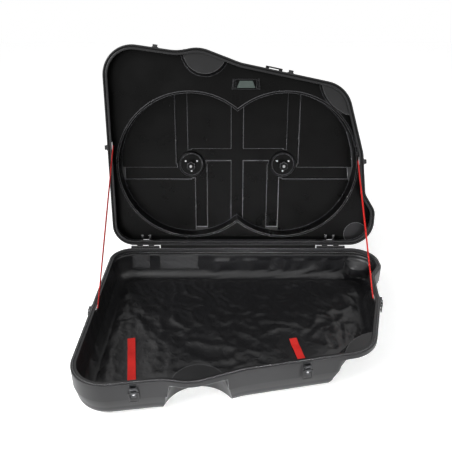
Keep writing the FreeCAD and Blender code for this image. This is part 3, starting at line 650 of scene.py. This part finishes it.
def floor_fold(x, y):
    """Height of the loose folds on the floor, none under the straps."""
    fold = crease(x + 0.35 * y, y - 0.35 * x, 2.6) * slack(x, y) + 0.9 * crinkle(x, y)
    for start, end in strap_lines:
        run = end - start
        share = clamp((Vector((x, y)) - start).dot(run) / run.length_squared)
        near = (start + run * share - Vector((x, y))).length
        fold *= clamp((near - STRAP_FLAT) / STRAP_FADE)
    return FLOOR_FOLD * fold


def lining_walls():
    """Loops of the lining's wall, from the glued top edge down to the floor."""
    loops = []
    for inset, z in [(LINER_OFFSET, LINER_TOP), (LINER_OFFSET, 0.104)] + wall_section(LINER_OFFSET):
        loop = pressed(rim_loop(inset), z, LINER_OFFSET, BASE_FLARE)
        fade = clamp((LINER_TOP - z) / GLUE_FADE) * clamp((z - COVE_LOW) / COVE_FADE)
        around = 0.0
        points = []
        for i, p in enumerate(loop):
            along = (loop[(i + 2) % len(loop)] - loop[i - 2]).normalized()
            beside = (abs(p.x - POCKETS_X) - POCKETS_HALF) / POCKETS_FADE
            pocket = max(0.1, min(1.0, beside)) if p.y > 0.3 else 1.0
            loose = crease(around, z, 3.0) * slack(p.x, p.y) + 0.6 * crinkle(around, z)
            depth = WALL_FOLD * loose * fade * pocket
            points.append(Vector((p.x - along.y * depth, p.y + along.x * depth, z)))
            around += (loop[(i + 1) % len(loop)] - p).length
        loops.append(points)
    return loops


# %% Lining floor
FLOOR_GRID = 0.008
FLOOR_BORDER = 0.03
wall_loops = lining_walls()
lining = loft("nylon_lining", wall_loops, False)
cloth = bmesh.new()
cloth.from_mesh(lining.data)
cloth.verts.ensure_lookup_table()
weave = cloth.loops.layers.uv.active
floor_edge = cloth.verts[-len(wall_loops[-1]):]
border = kdtree.KDTree(len(floor_edge))
for i, vert in enumerate(floor_edge):
    border.insert(vert.co, i)
border.balance()
sheet = [cloth.faces.new(floor_edge)] + list(floor_edge)
sheet += list(sheet[0].edges)
for axis, reach in ((Vector((1, 0, 0)), LENGTH / 2), (Vector((0, 1, 0)), WIDTH / 2)):
    for k in range(round(2 * reach / FLOOR_GRID)):
        cut = axis * (k * FLOOR_GRID - reach + 0.003)
        sheet = bmesh.ops.bisect_plane(cloth, geom=sheet, dist=0.0001, plane_co=cut, plane_no=axis)["geom"]
for item in sheet:
    if isinstance(item, bmesh.types.BMVert):
        near = border.find(item.co)[2]
        item.co.z += floor_fold(item.co.x, item.co.y) * min(1.0, near / FLOOR_BORDER)
    elif isinstance(item, bmesh.types.BMFace):
        for corner in item.loops:
            corner[weave].uv = corner.vert.co.xy
cloth.to_mesh(lining.data)
cloth.free()
bpy.ops.object.mode_set(mode="EDIT")
bpy.ops.mesh.select_all(action="SELECT")
bpy.ops.mesh.normals_make_consistent(inside=True)
bpy.ops.object.mode_set(mode="OBJECT")
hem = lining.modifiers.new("cloth_thickness", "SOLIDIFY")
hem.thickness = 0.0010
hem.offset = 1.0
bpy.ops.object.modifier_apply(modifier=hem.name)
bpy.ops.object.shade_smooth()
lining.data.materials.append(finishes["lining"])
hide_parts("base_liner")
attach(lining, "base")

# %% [markdown]
# The red straps are flat polyester webbing, 1.8 mm thick. A strap is a long grid of faces laid along a
# line, with thickness from Solidify and soft edges from a small bevel. Its UV map is set in metres, so the
# weave has one scale on every strap. The two ties lie on the tray's floor; the two stays run from the
# base's rim to the lid's.

# %% Webbing
WEBBING_T = 0.0018
TIE_W = 0.030
STAY_W = 0.012
LENGTH_STEPS = 60


def webbing(name, line, across, width, pieces, node):
    """Strap along line(t), t from 0 to 1, with its width along across(t)."""
    bpy.ops.object.select_all(action="DESELECT")
    bpy.ops.mesh.primitive_grid_add(x_subdivisions=6, y_subdivisions=pieces, size=1.0)
    strap = bpy.context.object
    strap.name = name
    marks = [line(k / LENGTH_STEPS) for k in range(LENGTH_STEPS + 1)]
    length = sum((after - before).length for before, after in zip(marks, marks[1:]))
    for uv in strap.data.uv_layers[0].data:
        uv.uv = (uv.uv[0] * width, uv.uv[1] * length)
    for vertex in strap.data.vertices:
        u, t = vertex.co.x, vertex.co.y + 0.5
        vertex.co = line(t) + across(t) * (u * width)
    solid = strap.modifiers.new("webbing_thickness", "SOLIDIFY")
    solid.thickness = WEBBING_T
    solid.offset = 0.0
    bpy.ops.object.modifier_apply(modifier=solid.name)
    soft = strap.modifiers.new("soft_edges", "BEVEL")
    soft.width = 0.0005
    soft.segments = 2
    soft.angle_limit = math.radians(50)
    bpy.ops.object.modifier_apply(modifier=soft.name)
    bpy.ops.object.shade_smooth_by_angle(angle=math.radians(45))
    strap.data.materials.append(finishes["red_webbing"])
    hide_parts(node)
    print(name, "length", round(length, 3))
    return strap, length


TIE_FRONT_IN = 0.123
TIE_END_Y = BACK_Y - 0.490
TIE_LOW = 0.0088
ties = (("tie_strap_left", 1, -0.392, -0.452), ("tie_strap_right", 4, 0.236, 0.184))
for node, edge, front_x, end_x in ties:
    front = on_edge(edge, front_x) - edge_out[edge] * TIE_FRONT_IN
    end = Vector((end_x, TIE_END_Y))
    run = (end - front).normalized()
    sideways = Vector((-run.y, run.x, 0))

    def tie_line(t, front=front, end=end):
        """Low waves, and a free end that lifts off the floor."""
        at = front.lerp(end, t)
        lift = 0.0022 * math.sin(math.pi * 2.5 * t) ** 2 + 0.004 * max(0.0, t - 0.8) * 5
        return Vector((at.x, at.y, TIE_LOW + lift))

    def tie_across(t, sideways=sideways):
        """Across the tie, tilting a little along it."""
        return (sideways + Vector((0, 0, 0.04 * math.sin(5 * t)))).normalized()

    tie, tie_length = webbing("webbing_" + node, tie_line, tie_across, TIE_W, 40, node)
    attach(tie, "base")

STAY_LEAN = math.radians(12)
for node, v in (("lid_stay_left", 0.462), ("lid_stay_right", 0.396)):
    low_corner, high_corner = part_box(node)
    middle_x = (low_corner[0] + high_corner[0]) / 2
    low = Vector((middle_x, BACK_Y - v, DEPTH - LIP_H / 2))
    high = lid_place @ low
    rise = (high - low).normalized()
    flat = Vector((0, -rise.z, rise.y))

    def stay_line(t, low=low, high=high):
        """Straight line from anchor to anchor."""
        return low.lerp(high, t)

    def stay_across(t, flat=flat, rise=rise, lean=math.copysign(STAY_LEAN, middle_x)):
        """Flat at both anchors, turned a little in the middle."""
        return Matrix.Rotation(lean * math.sin(math.pi * t), 3, rise) @ flat

    stay, stay_length = webbing("webbing_" + node, stay_line, stay_across, STAY_W, 60, node)
    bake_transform(stay)

# %% [markdown]
# Two flat pockets of grey cloth hang on the back wall. Each starts as a box of the pocket's size, is cut
# into many faces, swells towards its middle and follows the wall's slope. A raised band along the top is
# its bound edge.

# %% Back pockets
POCKET_BACK = BACK_Y - 0.0074
CLOTH_T, SWELL, RUCK, HEM = 0.0012, 0.0030, 0.0006, 0.0009


def wall_lean(z):
    """How far the wall stands in from the rim at a height."""
    if z > DEPTH - RIM_BAND:
        return 0.0
    return DRAFT * min(1.0, (DEPTH - RIM_BAND - z) / (DEPTH - RIM_BAND - EDGE_R))


for node in ("back_pocket_small", "back_pocket_large"):
    low, high = (Vector(corner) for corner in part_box(node))
    bpy.ops.object.select_all(action="DESELECT")
    bpy.ops.mesh.primitive_cube_add(size=1.0)
    pocket = bpy.context.object
    pocket.name = "cloth_" + node
    bpy.ops.object.mode_set(mode="EDIT")
    bpy.ops.mesh.subdivide(number_cuts=15)
    bpy.ops.object.mode_set(mode="OBJECT")
    width, height = high.x - low.x, high.z - low.z
    for vertex in pocket.data.vertices:
        u, d, w = vertex.co
        swell = (1 - (2 * u) ** 4) * (1 - (2 * w) ** 4)
        ruck = RUCK * math.sin(26 * u + 4 * math.sin(7 * w)) * (1 - (2 * w) ** 2)
        hem = HEM if w > 0.36 else 0.0
        front = 0.5 - d
        x = (low.x + high.x) / 2 + u * width * (1 - 0.03 * (1 - (2 * w) ** 2))
        z = (low.z + high.z) / 2 + w * height
        y = POCKET_BACK - wall_lean(z) - front * (CLOTH_T + SWELL * swell + ruck + hem)
        vertex.co = (x, y, z)
    bpy.ops.object.mode_set(mode="EDIT")
    bpy.ops.mesh.select_all(action="SELECT")
    bpy.ops.uv.cube_project(cube_size=1.0)
    bpy.ops.object.mode_set(mode="OBJECT")
    smooth = pocket.modifiers.new("smooth_cloth", "SUBSURF")
    smooth.levels = 1
    smooth.render_levels = 1
    bpy.ops.object.modifier_apply(modifier=smooth.name)
    bpy.ops.object.shade_smooth()
    pocket.data.materials.append(finishes["pocket_fabric"])
    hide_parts(node)
    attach(pocket, "base")
    print(pocket.name, "width", round(width, 3))

# %% [markdown]
# Each latch lever carries one bright rivet, which is the point of light on every latch. A sphere is
# flattened and its hidden half is cut away, and the dome is set on the lever's face. Each latch sits on one
# straight edge of the outline.

# %% Latch rivets
RIVET_R = 0.0044
RIVET_FLAT = 0.5
RIVET_Z = DEPTH - 0.0375
LEVER_FACE = 0.0102
SIDE_V = {"left": 0.455, "right": 0.392}
FRONT_X = {"front_left": -0.376, "front_right": 0.194}
latch_edges = {"front_left": 1, "front_right": 4, "left": 0, "right": 6}
for place, edge in latch_edges.items():
    start, run = rim_points[edge], edge_along[edge]
    if place in FRONT_X:
        seat = on_edge(edge, FRONT_X[place])
    else:
        seat = start + run * ((BACK_Y - SIDE_V[place] - start.y) / run.y)
    foot = seat + edge_out[edge] * LEVER_FACE
    bpy.ops.object.select_all(action="DESELECT")
    bpy.ops.mesh.primitive_uv_sphere_add(segments=20, ring_count=10, radius=RIVET_R)
    rivet = bpy.context.object
    rivet.name = "latch_rivet_" + place
    bpy.ops.object.mode_set(mode="EDIT")
    bpy.ops.mesh.bisect(plane_co=(0, 0, 0), plane_no=(0, 0, 1), clear_inner=True, use_fill=True)
    bpy.ops.object.mode_set(mode="OBJECT")
    turn = Vector((0, 0, 1)).rotation_difference(edge_out[edge].to_3d()).to_matrix().to_4x4()
    squeeze = Matrix.Diagonal((1, 1, RIVET_FLAT, 1))
    rivet.data.transform(Matrix.Translation((foot.x, foot.y, RIVET_Z)) @ turn @ squeeze)
    bpy.ops.object.shade_smooth_by_angle(angle=SMOOTH_UP_TO)
    rivet.data.materials.append(finishes["bright_metal"])
    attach(rivet, "lever_" + place)
print("rivets", len(latch_edges))

# %% [markdown]
# A pale floor and a white surround stand in for a studio. The world gives an even fill, and a large softbox
# high on the left models the walls. A small one, low in front, throws a narrow beam on the front wall that
# reflections don't show, and a weak one on the right keeps the edges readable. The surround shows white to
# the camera and in reflections, while its light on the case stays moderate.

# %% Floor, world and lamps
FLOOR_GLOW = 0.42
FILL = 0.55
bpy.ops.object.select_all(action="DESELECT")
bpy.ops.mesh.primitive_plane_add(size=14.0, location=(0, 1.0, -0.0015))
floor = bpy.context.object
floor.name = "studio_floor"
floor_material, floor_tree, floor_shader = new_material("studio_paper")[:3]
floor_shader.inputs["Base Color"].default_value = linear("#fbfbfb")
floor_shader.inputs["Roughness"].default_value = 0.95
floor_ray = add(floor_tree, "ShaderNodeLightPath", {})
floor_seen = add(floor_tree, "ShaderNodeMath", {0: floor_ray.outputs["Is Camera Ray"],
                                                1: floor_ray.outputs["Is Glossy Ray"]}, operation="MAXIMUM")
floor_open = add(floor_tree, "ShaderNodeMath", {0: floor_seen.outputs["Value"],
                                                1: floor_ray.outputs["Is Transmission Ray"]},
                 operation="MAXIMUM")
floor_glow = add(floor_tree, "ShaderNodeMath", {0: floor_open.outputs["Value"], 1: FLOOR_GLOW},
                 operation="MULTIPLY")
floor_shader.inputs["Emission Color"].default_value = (1, 1, 1, 1)
floor_tree.links.new(floor_glow.outputs["Value"], floor_shader.inputs["Emission Strength"])
floor.data.materials.append(floor_material)

world = bpy.data.worlds.new("studio_world")
bpy.context.scene.world = world
world.use_nodes = True
sky = world.node_tree
sky.nodes.clear()
ray = add(sky, "ShaderNodeLightPath", {})
seen = add(sky, "ShaderNodeMath", {0: ray.outputs["Is Camera Ray"], 1: ray.outputs["Is Glossy Ray"]},
           operation="MAXIMUM")
through = add(sky, "ShaderNodeMath", {0: seen.outputs["Value"], 1: ray.outputs["Is Transmission Ray"]},
              operation="MAXIMUM")
fill = add(sky, "ShaderNodeBackground", {"Color": (1, 1, 1, 1), "Strength": FILL})
white = add(sky, "ShaderNodeBackground", {"Color": (1, 1, 1, 1), "Strength": 1.0})
blend = add(sky, "ShaderNodeMixShader", {"Fac": through.outputs["Value"], 1: fill.outputs["Background"],
                                         2: white.outputs["Background"]})
add(sky, "ShaderNodeOutputWorld", {"Surface": blend.outputs["Shader"]})


def softbox(name, place, target, size, watts, spread=180, mirrored=True):
    """Square area lamp aimed at a point; a narrow spread keeps its light there."""
    lamp_data = bpy.data.lights.new(name, "AREA")
    lamp_data.size = size
    lamp_data.energy = watts
    lamp_data.spread = math.radians(spread)
    lamp = bpy.data.objects.new(name, lamp_data)
    lamp.location = place
    lamp.rotation_euler = (Vector(target) - Vector(place)).to_track_quat("-Z", "Y").to_euler()
    lamp.visible_glossy = mirrored
    bpy.context.collection.objects.link(lamp)


softbox("key_softbox", (-3.0, -1.7, 2.6), (0, 0.1, 0.2), size=2.0, watts=150)
softbox("front_softbox", (-0.4, -2.7, 0.28), (-0.05, -0.45, 0.0), size=0.9, watts=8, spread=24, mirrored=False)
softbox("edge_softbox", (2.4, -1.0, 2.6), (0, 0.3, 0.2), size=1.4, watts=10)
bpy.context.scene.view_settings.view_transform = "Standard"
print("studio ready")
